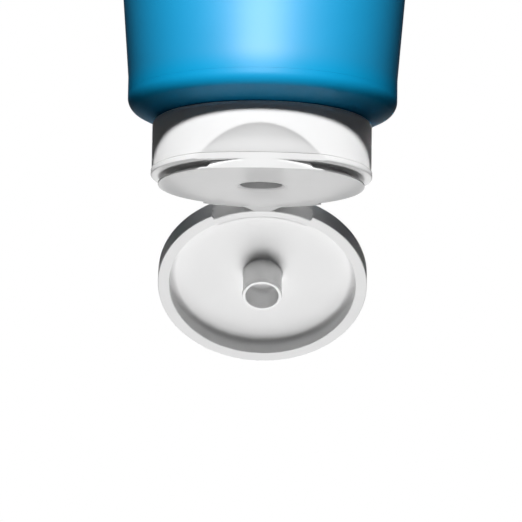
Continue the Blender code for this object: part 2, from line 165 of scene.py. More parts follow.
class LidSizes(bpy.types.PropertyGroup):
    """The lid's, the plug's and the hinge's own sizes."""

    height: millimetres("Lid height", 4.8, "Outer height of the lid")
    inner_radius: millimetres("Lid inner radius", 18.35, "Radius inside the rim")
    depth: millimetres("Lid depth", 3.4, "Depth inside the rim")
    edge_fillet: millimetres("Edge fillet", 1.34, "Rounding of the lid's outer edge")
    floor_fillet: millimetres("Floor fillet", 1.3, "Rounding between floor and wall")
    rim_fillet: millimetres("Rim fillet", 0.18, "Rounding of the rim's two edges")
    plug_wall: millimetres("Plug wall", 0.6, "Wall of the hollow plug")
    plug_bead: millimetres("Plug bead", 0.18, "How far the plug's lip swells out")
    plug_bore_depth: millimetres("Plug bore depth", 4.6, "Depth of the hollow in the plug")
    plug_reach: millimetres("Plug reach", 3.05, "How far the plug stands past the rim")
    plug_foot: millimetres("Plug foot fillet", 0.3, "Fillet where the plug meets the lid's floor")
    rim_recess: millimetres("Rim recess", 1.0, "How far the rim is set back at the hinge")
    recess_height: millimetres("Recess height", 2.0, "Height over which the recess runs out")
    hinge_half_width: millimetres("Hinge half width", 9.8, "Half the width of the set-back rim")
    strap_half_width: millimetres("Strap half width", 3.3, "Half the width of the middle film")
    web_thickness: millimetres("Web thickness", 0.15, "Thickness of the snap webs")
    web_cover: millimetres("Web cover", 3.4, "How far the webs reach down the lid's wall")
    web_rise: millimetres("Web rise", 1.5, "Height above the deck's face where the webs leave the closure")
    white: colour("Lid white", (0.83, 0.83, 0.83), "Colour of the lid and its plug")


class StudioSettings(bpy.types.PropertyGroup):
    """Camera and lights."""

    distance: millimetres("Camera distance", 770.0, "Camera to the middle of the deck")
    elevation: bpy.props.FloatProperty(
        name="Camera elevation", description="Angle from below", default=math.radians(-11.14), subtype="ANGLE"
    )
    azimuth: bpy.props.FloatProperty(
        name="Camera azimuth", description="Angle round the tube", default=math.radians(0.78), subtype="ANGLE"
    )
    roll: bpy.props.FloatProperty(
        name="Camera roll", description="Turn about the view axis", default=math.radians(-0.88), subtype="ANGLE"
    )
    lens: bpy.props.FloatProperty(name="Lens", description="Focal length in millimetres", default=281.5)
    drop: millimetres("Aim drop", 14.04, "How far below the deck the camera aims")
    floor_drop: millimetres("Floor drop", 215.0, "How far the floor lies below the deck")
    key_strength: bpy.props.FloatProperty(name="Key", description="Strength of the front light", default=5.4)
    key_elevation: bpy.props.FloatProperty(
        name="Key elevation", description="Height of the front light", default=math.radians(47.5), subtype="ANGLE"
    )
    key_offset: bpy.props.FloatProperty(
        name="Key offset", description="Turn of the front light to the left", default=math.radians(-0.8), subtype="ANGLE"
    )
    skirt_strength: bpy.props.FloatProperty(
        name="Skirt key", description="Extra front light on the skirt alone", default=0.8
    )
    skirt_under: bpy.props.FloatProperty(
        name="Skirt under light", description="Light from below on the skirt alone", default=0.35
    )
    under_strength: bpy.props.FloatProperty(
        name="Under light", description="Strength of the light from below on the white pieces", default=2.15
    )
    lid_strength: bpy.props.FloatProperty(
        name="Lid light", description="Wide light from below and behind on the lid alone", default=2.45
    )
    back_strength: bpy.props.FloatProperty(name="Back light", description="Strength of the back light", default=3.0)
    strip_power: bpy.props.FloatProperty(
        name="Strip power", description="Power of the tall soft light before the tube", default=0.53
    )
    strip_width: millimetres("Strip width", 110.0, "Width of the tall soft light")
    strip_height: millimetres("Strip height", 120.0, "Height of the tall soft light")
    strip_distance: millimetres("Strip distance", 200.0, "Tube's axis to the tall soft light")
    strip_rise: millimetres("Strip rise", 80.0, "Height of the tall soft light's middle above the sleeve's end")
    strip_slope: bpy.props.FloatProperty(
        name="Strip slope", description="Downward slope of the tall soft light", default=0.35
    )
    side_strength: bpy.props.FloatProperty(
        name="Side lights", description="Strength of the two lights from behind on the white pieces", default=1.9
    )
    side_turn: bpy.props.FloatProperty(
        name="Side turn", description="Turn of those lights off the back", default=math.radians(27), subtype="ANGLE"
    )
    lid_tilt: bpy.props.FloatProperty(
        name="Lid tilt", description="Lean of the lid's light to the back", default=math.radians(8), subtype="ANGLE"
    )
    under_tilt: bpy.props.FloatProperty(
        name="Under tilt", description="Lean of the lower light to the front", default=math.radians(18), subtype="ANGLE"
    )


# ---------------------------------------------------------------- surfaces


def outline(corners, steps=8):
    """The turned outline through (radius, height, fillet) corners as an array of points.

    A fillet is the arc tangent to both sides, written as the corner's centre plus the two end radii weighted by
    sin((1 - t) w) / sin w and sin(t w) / sin w, where w is the arc's sweep and t runs from 0 to 1.
    """
    points = []
    for i, (x, z, fillet) in enumerate(corners):
        corner = np.array([x, z])
        if not fillet:
            points.append(corner[None])
            continue
        ends = [np.array(corners[i - 1][:2]), np.array(corners[(i + 1) % len(corners)][:2])]
        lengths = [np.linalg.norm(end - corner) for end in ends]
        a, b = [(end - corner) / length for end, length in zip(ends, lengths)]
        half = math.atan2(np.linalg.norm(a - b), np.linalg.norm(a + b))
        fillet = min(fillet, 0.95 * min(lengths) * math.tan(half))
        centre = corner + (a + b) * fillet / math.sin(half) / np.linalg.norm(a + b)
        first, last = [corner + side * fillet / math.tan(half) - centre for side in (a, b)]
        sweep = math.pi - 2 * half
        t = np.linspace(0, 1, steps + 1)[:, None]
        points.append(centre + (np.sin((1 - t) * sweep) * first + np.sin(t * sweep) * last) / np.sin(sweep))
    return np.concatenate(points)


def refined(points, step, closed=True):
    """The same outline with its long straights divided into stretches no longer than step."""
    ahead = np.roll(points, -1, axis=0) if closed else points[1:]
    start = points if closed else points[:-1]
    runs = []
    for a, b in zip(start, ahead):
        count = max(1, math.ceil(np.linalg.norm(b - a) / step))
        runs.append(a + (b - a) * (np.arange(count) / count)[:, None])
    if not closed:
        runs.append(points[-1:])
    return np.concatenate(runs)


def angles(edges=(), count=300, spread=math.radians(0.7)):
    """Angles round the axis, evenly spaced, with a close cluster at each edge that must stay crisp."""
    turns = [np.arange(count) * 2 * math.pi / count]
    turns += [edge + np.linspace(-spread, spread, 11) for edge in edges]
    return np.unique(np.round(np.concatenate(turns) % (2 * math.pi), 6))


def step_up(value, edge, width):
    """0 below the edge and 1 above it, turning over smoothly within width: t * t * (3 - 2 t)."""
    t = np.clip((value - edge) / width + 0.5, 0, 1)
    return t * t * (3 - 2 * t)


def soft_minimum(a, b, width):
    """The smaller of two radii, with their crossing rounded: (a + b - sqrt((a - b)^2 + width^2)) / 2."""
    return 0.5 * (a + b - np.sqrt((a - b) ** 2 + width**2))


def scoop_reach(sizes, height, turn, inset=0.0):
    """How far out from the tube's axis the thumb scoop's leaning cylinder reaches at each height and angle.

    A ray level with the deck leaves the axis at the angle turn. With q the ray's start and d its direction, both
    measured square to the cylinder's own axis, it meets the radius S at (-q.d + sqrt((q.d)^2 - d.d (q.q - S^2))) / d.d.
    """
    lean = math.atan(sizes.scoop_slope)
    along = np.array([0, -math.sin(lean), math.cos(lean)])
    radius = sizes.scoop_radius
    middle = np.array(
        [0, -SKIRT_RADIUS + radius * math.cos(lean), sizes.scoop_top + radius * math.sin(lean)]
    )
    ray = np.stack([np.cos(turn), np.sin(turn), np.zeros_like(turn)], -1)
    start = np.stack([np.zeros_like(height), np.zeros_like(height), height], -1) - middle
    ray = ray - (ray @ along)[..., None] * along
    start = start - (start @ along)[..., None] * along
    cross = (start * ray).sum(-1)
    length = (ray * ray).sum(-1)
    trimmed = radius - inset
    return (-cross + np.sqrt(cross**2 - length * ((start * start).sum(-1) - trimmed**2))) / length


def revolve(profile, turn, shape=None):
    """Points of a turned surface: (r cos a, r sin a, z) over the profile's points and the angles a.

    shape(r, z, a) may return a changed radius, which is how scoops, lugs and recesses are worked in.
    """
    radius, height, around = np.broadcast_arrays(profile[:, :1], profile[:, 1:], turn[None])
    if shape is not None:
        radius = shape(radius, height, around)
    return np.stack([radius * np.cos(around), radius * np.sin(around), height], -1)


def swung_open(points):
    """Points of the closed lid turned about the hinge line by the opening angle.

    With y and z measured from the hinge, y' = y cos a - z sin a and z' = y sin a + z cos a.
    """
    y, z = points[..., 1] - HINGE_POINT[1], points[..., 2] - HINGE_POINT[2]
    turned = points.copy()
    turned[..., 1] = HINGE_POINT[1] + y * math.cos(LID_ANGLE) - z * math.sin(LID_ANGLE)
    turned[..., 2] = HINGE_POINT[2] + y * math.sin(LID_ANGLE) + z * math.cos(LID_ANGLE)
    return turned


def on_deck(points):
    """Points measured from the deck's outer face, moved to their place in the frame."""
    return points + np.array([0, 0, DECK_Z])


def grid_faces(rows, columns, close_rows, close_columns):
    """Quads of a grid as an index array, joined round on itself along rows, columns or both."""
    row = np.arange(rows if close_rows else rows - 1)
    column = np.arange(columns if close_columns else columns - 1)
    i, j = np.meshgrid(row, column, indexing="ij")
    i2, j2 = (i + 1) % rows, (j + 1) % columns
    corners = [i * columns + j, i2 * columns + j, i2 * columns + j2, i * columns + j2]
    return np.stack(corners, -1).reshape(-1, 4)


def mesh_piece(name, points, faces, finish, body, nodes=(), sharp=32):
    """A finished piece: doubles merged, faces turned outwards, shaded smooth, riding on its body when a body is named,
    otherwise fixed where it stands.
    """
    mesh = bpy.data.meshes.new(name)
    mesh.from_pydata(points.reshape(-1, 3), [], faces.tolist())
    work = bmesh.new()
    work.from_mesh(mesh)
    bmesh.ops.remove_doubles(work, verts=work.verts, dist=1e-7)
    bmesh.ops.recalc_face_normals(work, faces=work.faces)
    work.to_mesh(mesh)
    work.free()
    mesh.shade_smooth()
    mesh.set_sharp_from_angle(angle=math.radians(sharp))
    mesh.materials.append(finish)
    piece = bpy.data.objects.new(name, mesh)
    bpy.context.scene.collection.objects.link(piece)
    if isinstance(body, str):
        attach(piece, body)
    else:
        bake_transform(piece)
    if nodes:
        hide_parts(*nodes)
    return piece


def turned_piece(name, profile, turn, finish, body, nodes, shape=None, place=on_deck):
    """A closed turned piece from a closed profile, or from one that starts and ends on the axis."""
    on_axis = abs(profile[0, 0]) < 1e-9
    points = place(revolve(profile, turn, shape))
    faces = grid_faces(len(profile), len(turn), not on_axis, True)
    return mesh_piece(name, points, faces, finish, body, nodes)


def plate_piece(name, sheet, thickness, finish, body, nodes):
    """A thin plate: a curved sheet of points given its thickness along the sheet's own normal, edges closed."""
    normal = np.cross(np.gradient(sheet, axis=0), np.gradient(sheet, axis=1))
    normal /= np.linalg.norm(normal, axis=-1, keepdims=True)
    rows, columns = sheet.shape[:2]
    both = np.concatenate([(sheet + normal * thickness / 2), (sheet - normal * thickness / 2)])
    flat = grid_faces(rows, columns, False, False)
    index = np.arange(rows * columns).reshape(rows, columns)
    edge = np.concatenate([index[0], index[1:, -1], index[-1, -2::-1], index[-2:0:-1, 0]])
    after = np.roll(edge, -1)
    under = rows * columns
    band = np.stack([edge, after, after + under, edge + under], -1)
    faces = np.concatenate([flat, flat[:, ::-1] + under, band])
    return mesh_piece(name, both, faces, finish, body, nodes)


# ---------------------------------------------------------------- finishes


def group_sockets(group, inputs, outputs):
    """Adds float, colour or vector sockets to a node group from (name, kind, default) rows."""
    for name, kind, value in inputs:
        socket = group.interface.new_socket(name, in_out="INPUT", socket_type=kind)
        if value is not None:
            socket.default_value = value
    for name, kind in outputs:
        group.interface.new_socket(name, in_out="OUTPUT", socket_type=kind)


def moulded_surface_group():
    """Moulded plastic: slow flow marks and a fine texture, as a roughness and a normal that vary over the surface."""
    group = bpy.data.node_groups.new("moulded_surface", "ShaderNodeTree")
    group_sockets(
        group,
        [
            ("Roughness", "NodeSocketFloat", 0.25),
            ("Spread", "NodeSocketFloat", 0.05),
            ("Grain Size", "NodeSocketFloat", 1500.0),
            ("Grain Height", "NodeSocketFloat", 0.02),
        ],
        [("Roughness", "NodeSocketFloat"), ("Normal", "NodeSocketVector"), ("Mask", "NodeSocketFloat")],
    )
    nodes, links = group.nodes, group.links
    inside = nodes.new("NodeGroupInput")
    outside = nodes.new("NodeGroupOutput")
    place = nodes.new("ShaderNodeTexCoord")
    flow = nodes.new("ShaderNodeTexNoise")
    flow.inputs["Scale"].default_value = 90.0
    flow.inputs["Detail"].default_value = 3.0
    flow.inputs["Distortion"].default_value = 0.6
    links.new(place.outputs["Object"], flow.inputs["Vector"])
    grain = nodes.new("ShaderNodeTexNoise")
    grain.inputs["Detail"].default_value = 4.0
    links.new(place.outputs["Object"], grain.inputs["Vector"])
    links.new(inside.outputs["Grain Size"], grain.inputs["Scale"])
    centred = nodes.new("ShaderNodeMath")
    centred.operation = "SUBTRACT"
    centred.inputs[1].default_value = 0.5
    links.new(flow.outputs["Fac"], centred.inputs[0])
    swing = nodes.new("ShaderNodeMath")
    swing.operation = "MULTIPLY_ADD"
    links.new(centred.outputs[0], swing.inputs[0])
    links.new(inside.outputs["Spread"], swing.inputs[1])
    links.new(inside.outputs["Roughness"], swing.inputs[2])
    bump = nodes.new("ShaderNodeBump")
    bump.inputs["Distance"].default_value = 0.0001
    links.new(inside.outputs["Grain Height"], bump.inputs["Strength"])
    links.new(grain.outputs["Fac"], bump.inputs["Height"])
    links.new(swing.outputs[0], outside.inputs["Roughness"])
    links.new(bump.outputs["Normal"], outside.inputs["Normal"])
    links.new(flow.outputs["Fac"], outside.inputs["Mask"])
    return group


def tint_group():
    """Two shades of a dyed or pigmented plastic, mixed by a mask."""
    group = bpy.data.node_groups.new("pigment_drift", "ShaderNodeTree")
    group_sockets(
        group,
        [
            ("Colour", "NodeSocketColor", None),
            ("Shade", "NodeSocketFloat", 0.94),
            ("Mask", "NodeSocketFloat", 0.5),
        ],
        [("Colour", "NodeSocketColor")],
    )
    nodes, links = group.nodes, group.links
    inside = nodes.new("NodeGroupInput")
    outside = nodes.new("NodeGroupOutput")
    darker = nodes.new("ShaderNodeVectorMath")
    darker.operation = "SCALE"
    links.new(inside.outputs["Colour"], darker.inputs[0])
    links.new(inside.outputs["Shade"], darker.inputs["Scale"])
    mix = nodes.new("ShaderNodeMix")
    mix.data_type = "RGBA"
    links.new(inside.outputs["Mask"], mix.inputs["Factor"])
    links.new(darker.outputs[0], mix.inputs["A"])
    links.new(inside.outputs["Colour"], mix.inputs["B"])
    links.new(mix.outputs["Result"], outside.inputs["Colour"])
    return group


def shared_group(name, build):
    return bpy.data.node_groups.get(name) or build()


def plastic(name, tint, roughness, spread=0.05, grain=0.02, grain_size=1500.0, shade=0.96, flatness=1.0):
    """A moulded plastic with its own colour and gloss; returns the material and its shader."""
    material = bpy.data.materials.new(name)
    material.use_nodes = True
    nodes, links = material.node_tree.nodes, material.node_tree.links
    shader = nodes["Principled BSDF"]
    shader.inputs["Diffuse Roughness"].default_value = flatness
    surface = nodes.new("ShaderNodeGroup")
    surface.node_tree = shared_group("moulded_surface", moulded_surface_group)
    surface.inputs["Roughness"].default_value = roughness
    surface.inputs["Spread"].default_value = spread
    surface.inputs["Grain Size"].default_value = grain_size
    surface.inputs["Grain Height"].default_value = grain
    drift = nodes.new("ShaderNodeGroup")
    drift.node_tree = shared_group("pigment_drift", tint_group)
    drift.inputs["Colour"].default_value = (*tint, 1.0)
    drift.inputs["Shade"].default_value = shade
    links.new(surface.outputs["Mask"], drift.inputs["Mask"])
    links.new(drift.outputs["Colour"], shader.inputs["Base Color"])
    links.new(surface.outputs["Roughness"], shader.inputs["Roughness"])
    links.new(surface.outputs["Normal"], shader.inputs["Normal"])
    return material, shader


def height_fade_group():
    """A mask that rises smoothly from 0 at the height Start to 1 at the height Full, along the object's own Z."""
    group = bpy.data.node_groups.new("height_fade", "ShaderNodeTree")
    group_sockets(
        group,
        [("Start", "NodeSocketFloat", 0.0), ("Full", "NodeSocketFloat", 0.01)],
        [("Mask", "NodeSocketFloat")],
    )
    nodes, links = group.nodes, group.links
    inside = nodes.new("NodeGroupInput")
    outside = nodes.new("NodeGroupOutput")
    place = nodes.new("ShaderNodeTexCoord")
    parts = nodes.new("ShaderNodeSeparateXYZ")
    links.new(place.outputs["Object"], parts.inputs[0])
    ramp = nodes.new("ShaderNodeMapRange")
    ramp.interpolation_type = "SMOOTHSTEP"
    links.new(parts.outputs["Z"], ramp.inputs["Value"])
    links.new(inside.outputs["Start"], ramp.inputs["From Min"])
    links.new(inside.outputs["Full"], ramp.inputs["From Max"])
    links.new(ramp.outputs["Result"], outside.inputs["Mask"])
    return group


def frosted_blue(name, sizes):
    """Dyed frosted polyethylene: a deep colour under a broad pale gleam that dies away towards the shoulder."""
    material, shader = plastic(
        name, sizes.frost, sizes.blue_roughness, 0.08, grain=0.10, grain_size=900.0, shade=0.93, flatness=0.0
    )
    nodes, links = material.node_tree.nodes, material.node_tree.links
    gleam = nodes.new("ShaderNodeGroup")
    gleam.node_tree = shared_group("height_fade", height_fade_group)
    gleam.inputs["Start"].default_value = SLEEVE_LOW.z - 0.5 * MM
    gleam.inputs["Full"].default_value = SLEEVE_LOW.z - 0.5 * MM + sizes.gleam_fade
    links.new(gleam.outputs["Mask"], shader.inputs["Coat Weight"])
    shader.inputs["Coat IOR"].default_value = 1.65
    shader.inputs["Specular IOR Level"].default_value = 0.4
    shader.inputs["Coat Roughness"].default_value = sizes.gleam_roughness
    return material


# ---------------------------------------------------------------- pieces


def sleeve_ring(rise, inset, turn):
    """One level of the flattened tube, as x and y arrays over the angle.

    rise is 0 at the round end and 1 where the walls meet. The girth stays the same: with a the angle from +X
    and s its side, x = (1 - rise) R cos a + rise R (pi / 2 - a) and y = s (1 - rise) R sin a.
    """
    side = np.where(turn < math.pi, 1.0, -1.0)
    along = np.where(turn < math.pi, turn, 2 * math.pi - turn)
    radius = SLEEVE_RADIUS
    x = (1 - rise) * radius * np.cos(along) + rise * radius * (math.pi / 2 - along)
    y = side * (1 - rise) * radius * np.sin(along)
    widest = radius * (1 + rise * (math.pi / 2 - 1))
    deepest = np.maximum((1 - rise) * radius, 1e-9)
    return x * (1 - inset / widest), y * np.clip(1 - inset / deepest, 0, 1)


class OBJECT_OT_tube_sleeve(bpy.types.Operator):
    """Frosted sleeve, round at the shoulder and pressed flat and ribbed at its sealed end"""

    bl_idname = "object.tube_sleeve"
    bl_label = "Tube Sleeve"

    def execute(self, context):
        sizes = context.scene.tube_sizes
        wall = sizes.sleeve_wall
        flat = 1 - wall / SLEEVE_RADIUS
        round_end = HEAD_TOP - (SLEEVE_START - CLEARANCE)
        taper = SLEEVE_LENGTH - sizes.seal_height - round_end
        turn = np.arange(360) * 2 * math.pi / 360
        rise = np.linspace(0, flat, 90)[:, None]
        outer_x, outer_y = sleeve_ring(rise, 0.0, turn[None])
        outer_z = np.broadcast_to(round_end + taper * rise / flat, outer_x.shape)
        start = np.array([[-0.95 * CLEARANCE], [0.0]])
        start_x, start_y = sleeve_ring(np.zeros((2, 1)), 0.0, turn[None])
        start_z = np.broadcast_to(start, start_x.shape)
        seal = np.linspace(0, 1, 30)[1:, None] * sizes.seal_height
        seal_x, seal_y = sleeve_ring(np.full((29, 1), flat), 0.0, turn[None])
        ribs = 0.12 * MM * np.sin(2 * math.pi * (SLEEVE_LENGTH - sizes.seal_height + seal) / sizes.seal_rib)
        fade = step_up(seal, 0.8 * MM, 0.8 * MM) * (1 - step_up(seal, sizes.seal_height - 0.8 * MM, 0.8 * MM))
        seal_y = seal_y * (1 + ribs * fade / wall)
        seal_z = np.broadcast_to(SLEEVE_LENGTH - sizes.seal_height + seal, seal_x.shape)
        inner_rise = np.linspace(0, 0.97 * (1 - 2 * wall / SLEEVE_RADIUS), 60)[::-1, None]
        inner_x, inner_y = sleeve_ring(inner_rise, wall, turn[None])
        inner_z = np.broadcast_to(round_end + taper * inner_rise / flat, inner_x.shape)
        low_x, low_y = sleeve_ring(np.zeros((2, 1)), wall, turn[None])
        low_z = np.broadcast_to(start[::-1], low_x.shape)
        rows_x = [inner_x[:1], inner_x, low_x, start_x, outer_x, seal_x, seal_x[-1:]]
        rows_y = [inner_y[:1] * 0, inner_y, low_y, start_y, outer_y, seal_y, seal_y[-1:] * 0]
        rows_z = [inner_z[:1], inner_z, low_z, start_z, outer_z, seal_z, seal_z[-1:]]
        points = np.stack([np.concatenate(rows) for rows in (rows_x, rows_y, rows_z)], -1)
        points[..., 2] += SLEEVE_LOW.z
        faces = grid_faces(points.shape[0], points.shape[1], False, True)
        finish = frosted_blue("frosted_sleeve", sizes)
        mesh_piece("sleeve_skin", points, faces, finish, "tube", ["tube_sleeve"])
        return {"FINISHED"}


class OBJECT_OT_tube_head(bpy.types.Operator):
    """Moulded shoulder and neck under the sleeve's end"""

    bl_idname = "object.tube_head"
    bl_label = "Tube Head"

    def execute(self, context):
        sizes = context.scene.tube_sizes
        bead = 0.6 * MM
        bead_z = 6.6 * MM
        seat = SKIRT_TOP + 0.1 * CLEARANCE
        corner_z = seat + sizes.shoulder_slope * (SLEEVE_RADIUS - SKIRT_RADIUS)
        rim = SLEEVE_START - CLEARANCE
        spigot = SLEEVE_RADIUS - sizes.sleeve_wall - CLEARANCE
        inner = spigot - 1.2 * MM
        profile = outline(
            [
                (spigot, HEAD_TOP, 0),
                (spigot, rim, 0),
                (SLEEVE_RADIUS, rim, 0),
                (SLEEVE_RADIUS, corner_z, sizes.shoulder_corner),
                (SKIRT_RADIUS - 0.4 * MM, seat, 0.4 * MM),
                (sizes.neck_radius, seat, 0.5 * MM),
                (sizes.neck_radius, bead_z + 2 * bead, 0),
                (sizes.neck_radius + bead, bead_z + bead, 0.2 * MM),
                (sizes.neck_radius, bead_z - bead, 0),
                (sizes.neck_radius, NECK_LIP, 0.3 * MM),
                (sizes.neck_bore, NECK_LIP, 0.3 * MM),
                (sizes.neck_bore, seat + sizes.head_wall, 0.8 * MM),
                (SKIRT_RADIUS, seat + sizes.head_wall, 0),
                (inner, corner_z + sizes.head_wall, 1.0 * MM),
                (inner, HEAD_TOP, 0),
            ],
            14,
        )
        finish = frosted_blue("moulded_head", sizes)
        turned_piece(
            "head_skin", profile, angles(count=360), finish, "tube", ["tube_head"]
        )
        return {"FINISHED"}


class OBJECT_OT_closure_skirt(bpy.types.Operator):
    """Outer skirt with a thumb scoop in its front"""

    bl_idname = "object.closure_skirt"
    bl_label = "Closure Skirt"

    def execute(self, context):
        sizes = context.scene.closure_sizes
        inner = SKIRT_RADIUS - sizes.skirt_wall
        profile = refined(
            outline(
                [
                    (SKIRT_RADIUS, SKIRT_TOP, sizes.skirt_fillet),
                    (SKIRT_RADIUS, SKIRT_BOTTOM, 0.12 * MM),
                    (inner, SKIRT_BOTTOM, 0),
                    (inner, SKIRT_TOP, 0.3 * MM),
                ]
            ),
            0.16 * MM,
        )
        middle = inner + sizes.skirt_wall / 2

        def trimmed(radius, height, turn):
            """Both faces follow the scoop; the outer one is dished: d + dish (1 - exp(-d / reach)) deep for a cut d."""
            scoop = scoop_reach(sizes, height, turn)
            cut = np.maximum(radius - scoop, 0)
            bottomed = 1 - step_up(-height, -SKIRT_BOTTOM - 1.5 * MM, 3 * MM)
            dish = sizes.scoop_dish * (1 - np.exp(-cut / sizes.dish_reach)) * bottomed
            outside = soft_minimum(radius, scoop - dish, 0.04 * MM)
            inside = soft_minimum(radius, scoop_reach(sizes, height, turn, sizes.skirt_wall), 0.3 * MM)
            return np.where(radius > middle, outside, inside)

        finish, _ = plastic("white_skirt", sizes.white, sizes.satin, grain=0.03)
        turned_piece(
            "skirt_skin", profile, angles(count=600), finish, "tube", ["skirt_shell"], trimmed
        )
        return {"FINISHED"}


class OBJECT_OT_closure_deck(bpy.types.Operator):
    """Polished deck with its orifice, the shadow gap over it and the two hinge lugs"""

    bl_idname = "object.closure_deck"
    bl_label = "Closure Deck"

    def execute(self, context):
        sizes = context.scene.closure_sizes
        ledge_top = SKIRT_BOTTOM - sizes.groove
        scoop_front = SKIRT_RADIUS - sizes.scoop_slope * (sizes.scoop_top - SKIRT_BOTTOM)
        spigot = scoop_front - sizes.skirt_wall / math.cos(math.atan(sizes.scoop_slope)) - CLEARANCE
        boss = sizes.orifice_radius + sizes.boss_wall
        corners = [
            (spigot, DECK_SPIGOT_TOP, 0),
            (spigot, ledge_top, 0),
            (LEDGE_RADIUS, ledge_top, 0.10 * MM),
            (LEDGE_RADIUS, sizes.pedestal_height, 0.22 * MM),
            (sizes.pedestal_radius, sizes.pedestal_height, 0),
            (sizes.pedestal_radius, 0, 0.12 * MM),
            (sizes.orifice_radius + 1.0 * MM, 0, 0.5 * MM),
            (sizes.orifice_radius + sizes.orifice_lip, 0.06 * MM, 0.15 * MM),
            (sizes.orifice_radius, sizes.orifice_lip, 0.15 * MM),
            (sizes.orifice_radius, sizes.boss_height, 0.2 * MM),
            (boss, sizes.boss_height, 0.3 * MM),
            (boss - 0.3 * MM, sizes.deck_thickness, 0.3 * MM),
            (spigot - sizes.skirt_wall, sizes.deck_thickness, 0.4 * MM),
            (spigot - sizes.skirt_wall, DECK_SPIGOT_TOP, 0),
        ]
        profile = refined(outline(corners), 0.25 * MM)
        lug_angle = math.acos(sizes.lug_half_width / (0.5 * (SKIRT_RADIUS + sizes.pedestal_radius)))

        def worked(radius, height, turn):
            """Cuts the gap in behind the deck's edge, fills it between the lugs and trims the front by the scoop."""
            scoop = scoop_reach(sizes, height, turn)
            top, edge = sizes.pedestal_height, sizes.deck_edge
            in_gap = step_up(height, edge + 0.1 * MM, 0.2 * MM) * (1 - step_up(height, top - 0.05 * MM, 0.1 * MM))
            on_wall = np.abs(radius - sizes.pedestal_radius) < 0.05 * MM
            untrimmed = step_up(scoop - sizes.pedestal_radius, 0.55 * MM, 1.1 * MM)
            lean = sizes.gap_lean * np.clip((height - edge) / (top - edge), 0, 1)
            cut = radius - np.maximum(sizes.undercut * untrimmed, lean) * in_gap * on_wall
            near_rim = step_up(radius, sizes.pedestal_radius - 0.4 * MM, 0.4 * MM) * (height <= top + 1e-6)
            in_lugs = 1 - step_up(np.abs(turn - math.pi / 2), math.pi / 2 - lug_angle, math.radians(0.5))
            pushed = cut + np.maximum(SKIRT_RADIUS - cut, 0) * near_rim * in_lugs
            trimmed = soft_minimum(pushed, scoop, 0.04 * MM)
            return np.where(radius > boss + 1 * MM, trimmed, radius)

        edges = (lug_angle, math.pi - lug_angle)
        finish, _ = plastic("white_deck", sizes.deck_white, sizes.gloss, spread=0.03, grain=0.01)
        turned_piece(
            "deck_skin", profile, angles(edges, 320), finish, "tube", ["deck_insert"], worked
        )
        return {"FINISHED"}


class OBJECT_OT_neck_collar(bpy.types.Operator):
    """Finish of the hidden collar that snaps over the neck"""

    bl_idname = "object.neck_collar"
    bl_label = "Neck Collar"

    def execute(self, context):
        sizes = context.scene.closure_sizes
        finish, _ = plastic("white_collar", sizes.white, sizes.satin, grain=0.03)
        collar = frame["nodes"]["neck_collar"]
        collar.data.materials.clear()
        collar.data.materials.append(finish)
        return {"FINISHED"}


class OBJECT_OT_flip_lid(bpy.types.Operator):
    """Round lid with its raised rim, set back at the hinge, and the hollow plug in its middle"""

    bl_idname = "object.flip_lid"
    bl_label = "Flip Lid"

    def execute(self, context):
        sizes = context.scene.lid_sizes
        closure = context.scene.closure_sizes
        rim = -CLEARANCE
        floor = rim - sizes.depth
        bottom = rim - sizes.height
        profile = refined(
            outline(
                [
                    (0, floor, 0),
                    (sizes.inner_radius, floor, sizes.floor_fillet),
                    (sizes.inner_radius, rim, sizes.rim_fillet),
                    (LID_RADIUS, rim, sizes.rim_fillet),
                    (LID_RADIUS, bottom, sizes.edge_fillet),
                    (0, bottom, 0),
                ]
            ),
            0.5 * MM,
            closed=False,
        )
        half_angle = math.asin(sizes.hinge_half_width / LID_RADIUS)

        def set_back(radius, height, turn):
            off_middle = np.abs(turn - math.pi / 2)
            at_hinge = 1 - step_up(off_middle, half_angle, math.radians(0.4))
            fall = np.clip(1 - (rim - height) / sizes.recess_height, 0, 1)
            on_wall = step_up(radius, LID_RADIUS - 2 * sizes.rim_recess, 0.6 * MM)
            return radius - sizes.rim_recess * at_hinge * fall * on_wall

        edges = (math.pi / 2 - half_angle, math.pi / 2 + half_angle)

        def place(points):
            return swung_open(on_deck(points))

        finish, _ = plastic("white_lid", sizes.white, closure.satin + 0.04, spread=0.06, grain=0.02)
        turned_piece(
            "lid_skin", profile, angles(edges, 420), finish, "lid", ["lid_shell"], set_back, place
        )
        bore = PLUG_RADIUS - sizes.plug_wall
        tip = rim + sizes.plug_reach
        wide = PLUG_RADIUS + sizes.plug_bead
        sunk = floor - 0.02 * MM
        plug = refined(
            outline(
                [
                    (0, tip - sizes.plug_bore_depth, 0),
                    (bore, tip - sizes.plug_bore_depth, 0.7 * MM),
                    (bore + 0.1 * MM, tip, 0.15 * MM),
                    (wide - 0.1 * MM, tip, 0.15 * MM),
                    (wide, tip - 0.5 * MM, 0.4 * MM),
                    (PLUG_RADIUS + 0.05 * MM, tip - 1.4 * MM, 0.6 * MM),
                    (PLUG_RADIUS + 0.1 * MM, floor, sizes.plug_foot),
                    (PLUG_RADIUS + 0.1 * MM + sizes.plug_foot, sunk, 0),
                    (0, sunk, 0),
                ]
            ),
            0.4 * MM,
            closed=False,
        )
        finish, shader = plastic("white_plug", sizes.white, closure.gloss + 0.08, spread=0.04, grain=0.02)
        shader.inputs["Subsurface Weight"].default_value = 0.45
        shader.inputs["Subsurface Scale"].default_value = 1.6 * MM
        shader.inputs["Subsurface Radius"].default_value = (1.0, 1.0, 1.0)
        turned_piece(
            "plug_skin", plug, angles(count=180), finish, "lid", ["sealing_plug"], None, place
        )
        return {"FINISHED"}


